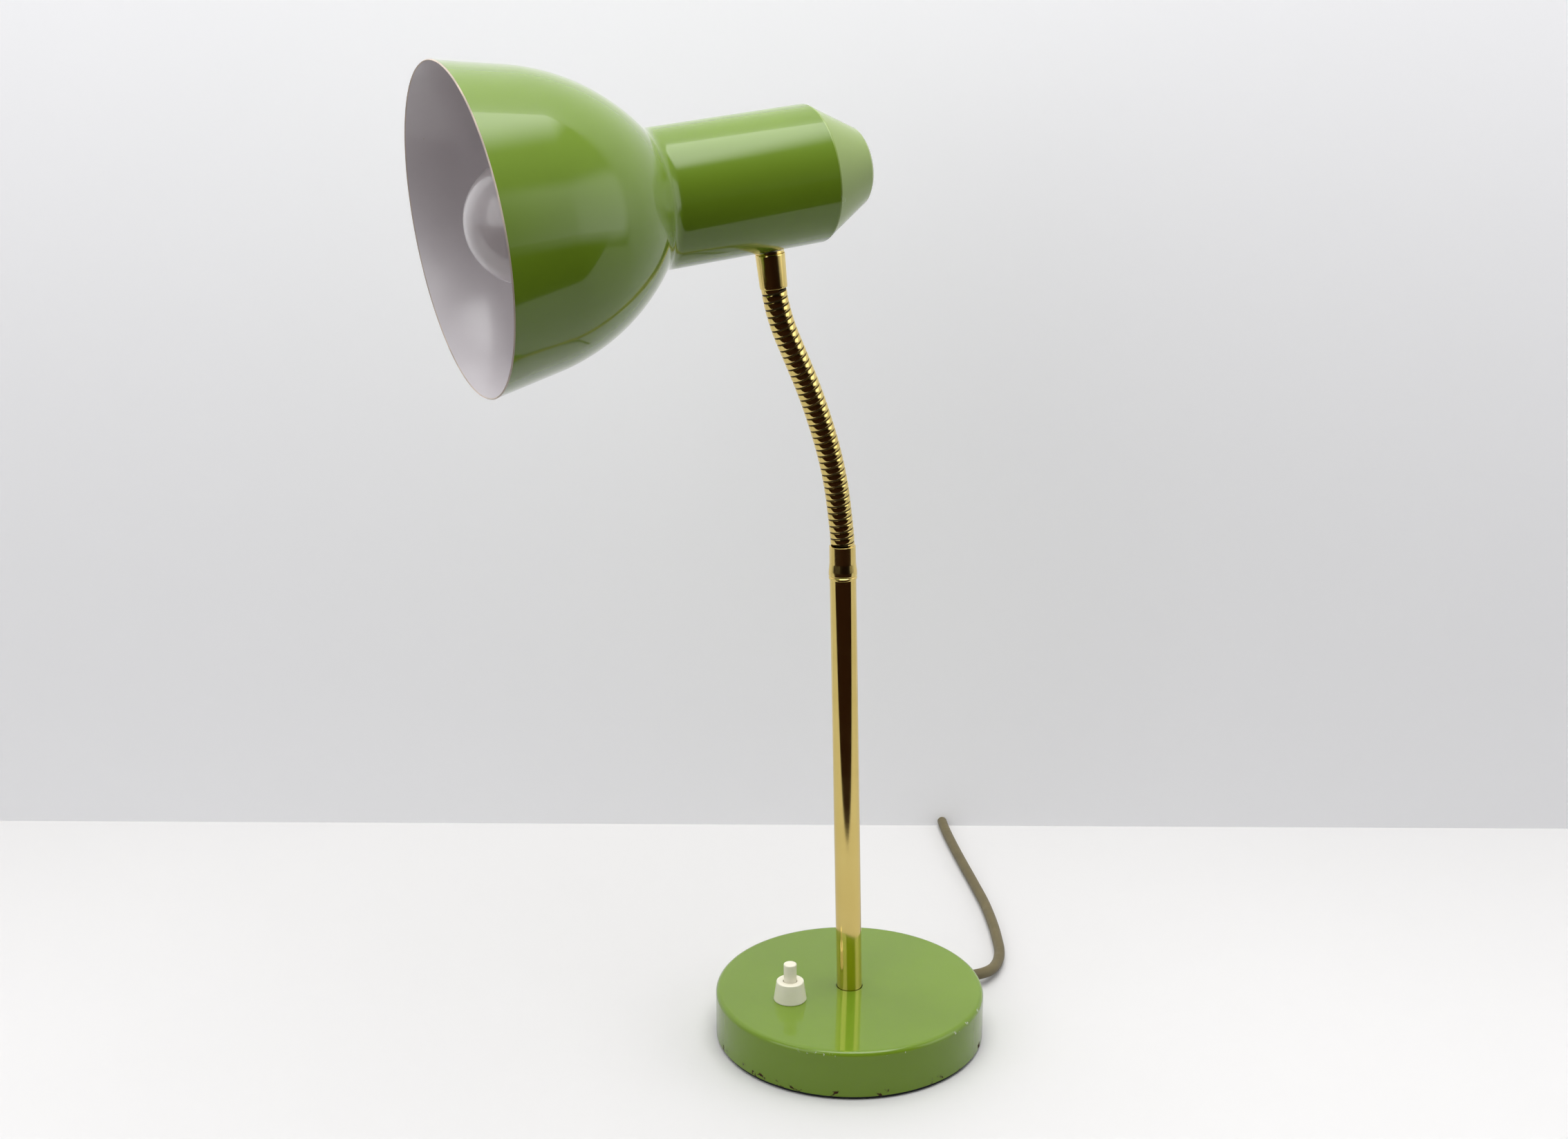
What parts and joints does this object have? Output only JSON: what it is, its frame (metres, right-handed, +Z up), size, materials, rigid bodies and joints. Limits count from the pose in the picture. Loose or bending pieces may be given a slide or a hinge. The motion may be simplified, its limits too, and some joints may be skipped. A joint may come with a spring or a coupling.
{
  "type": "gooseneck desk lamp",
  "caption": "Desk lamp with a round weighted base, a brass stem and flexible neck, and a deep bell shade on a tubular housing that swivels on the neck.",
  "frame": {"origin": "centre of the base's underside, on the table", "axes": "+Z up, the shade looks towards -Y and tilts down, the cord leaves the base towards +Y"},
  "size_m": [0.4118, 0.4145, 0.498],
  "materials": {
    "green_enamel": "glossy stove enamel, worn at the rims",
    "polished_brass": "polished, slightly tarnished",
    "ivory_plastic": "ivory, slightly yellowed",
    "black_pad": "matt",
    "cast_weight": "rough cast",
    "zinc_steel": "zinc plated",
    "olive_pvc": "satin olive brown sheath",
    "black_plastic": "moulded",
    "bakelite": "dark brown, moulded",
    "porcelain": "glazed",
    "pearl_glass": "pearl, frosted inside",
    "clear_glass": "clear"
  },
  "bodies": {
    "stand": {"base_cover": "green_enamel", "base_weight": "cast_weight", "base_pad": "black_pad", "stem_tube": "polished_brass", "stem_washer": "zinc_steel", "stem_nut": "zinc_steel", "stem_lead": "olive_pvc", "lower_collar": "polished_brass", "switch_body": "bakelite", "switch_collar": "ivory_plastic", "switch_spring": "zinc_steel", "terminal_block": "porcelain", "terminal_screws": "polished_brass", "cord_bush": "black_plastic", "lead_inside": "olive_pvc", "cord_clamp": "zinc_steel", "clamp_screws": "zinc_steel", "cord_lead": "olive_pvc", "cord_coil": "olive_pvc", "cord_tail": "olive_pvc", "cord_tie": "black_plastic", "plug_body": "black_plastic", "plug_pins": "zinc_steel"},
    "button": {"switch_button": "ivory_plastic"},
    "neck_1": {"neck_link_1": "polished_brass"},
    "neck_2": {"neck_link_2": "polished_brass"},
    "neck_3": {"neck_link_3": "polished_brass"},
    "neck_4": {"neck_link_4": "polished_brass"},
    "neck_5": {"neck_link_5": "polished_brass"},
    "neck_6": {"neck_link_6": "polished_brass"},
    "neck_7": {"neck_link_7": "polished_brass"},
    "neck_8": {"neck_link_8": "polished_brass"},
    "ferrule": {"upper_ferrule": "polished_brass", "head_nipple": "zinc_steel", "head_nut": "zinc_steel"},
    "head": {"saddle_washer": "polished_brass", "shade": "green_enamel", "rear_cap": "green_enamel", "socket_carrier": "zinc_steel", "socket_tube": "polished_brass", "socket_nuts": "zinc_steel", "socket_body": "bakelite", "socket_thread": "polished_brass", "socket_contact": "polished_brass", "socket_screws": "polished_brass", "bulb_glass": "pearl_glass", "bulb_cap": "zinc_steel", "bulb_tip": "bakelite", "bulb_filament": "clear_glass"}
  },
  "joints": [
    {"name": "neck_fore_1", "type": "hinge", "parent": "stand", "child": "neck_1", "pos_m": [0, -0.00628, 0.26592], "axis": [1, 0, 0], "range_deg": [-12, 12]},
    {"name": "neck_side_1", "type": "hinge", "parent": "neck_1", "child": "neck_2", "pos_m": [0, -0.00803, 0.28258], "axis": [0, 0.9914, 0.1305], "range_deg": [-12, 12]},
    {"name": "neck_fore_2", "type": "hinge", "parent": "neck_2", "child": "neck_3", "pos_m": [0, -0.01065, 0.29912], "axis": [1, 0, 0], "range_deg": [-12, 12]},
    {"name": "neck_side_2", "type": "hinge", "parent": "neck_3", "child": "neck_4", "pos_m": [0, -0.01471, 0.31537], "axis": [0, 0.9613, 0.2756], "range_deg": [-12, 12]},
    {"name": "neck_fore_3", "type": "hinge", "parent": "neck_4", "child": "neck_5", "pos_m": [0, -0.01988, 0.3313], "axis": [1, 0, 0], "range_deg": [-12, 12]},
    {"name": "neck_side_3", "type": "hinge", "parent": "neck_5", "child": "neck_6", "pos_m": [0, -0.02588, 0.34694], "axis": [0, 0.9239, 0.3827], "range_deg": [-12, 12]},
    {"name": "neck_fore_4", "type": "hinge", "parent": "neck_6", "child": "neck_7", "pos_m": [0, -0.0327, 0.36224], "axis": [1, 0, 0], "range_deg": [-12, 12]},
    {"name": "neck_side_4", "type": "hinge", "parent": "neck_7", "child": "neck_8", "pos_m": [0, -0.03924, 0.37766], "axis": [0, 0.9483, 0.3173], "range_deg": [-12, 12]},
    {"name": "neck_fore_5", "type": "hinge", "parent": "neck_8", "child": "ferrule", "pos_m": [0, -0.04329, 0.39391], "axis": [1, 0, 0], "range_deg": [-12, 12]},
    {"name": "head_swivel", "type": "hinge", "parent": "ferrule", "child": "head", "pos_m": [0, -0.04901, 0.44258], "axis": [0, -0.1167, 0.9932], "range_deg": [-120, 120]},
    {"name": "switch_press", "type": "slide", "parent": "stand", "child": "button", "axis": [0, 0, -1], "range_m": [0, 0.003], "stiffness_N_per_m": 400, "springref_m": -0.003, "deforming": ["switch_spring"]}
  ]
}
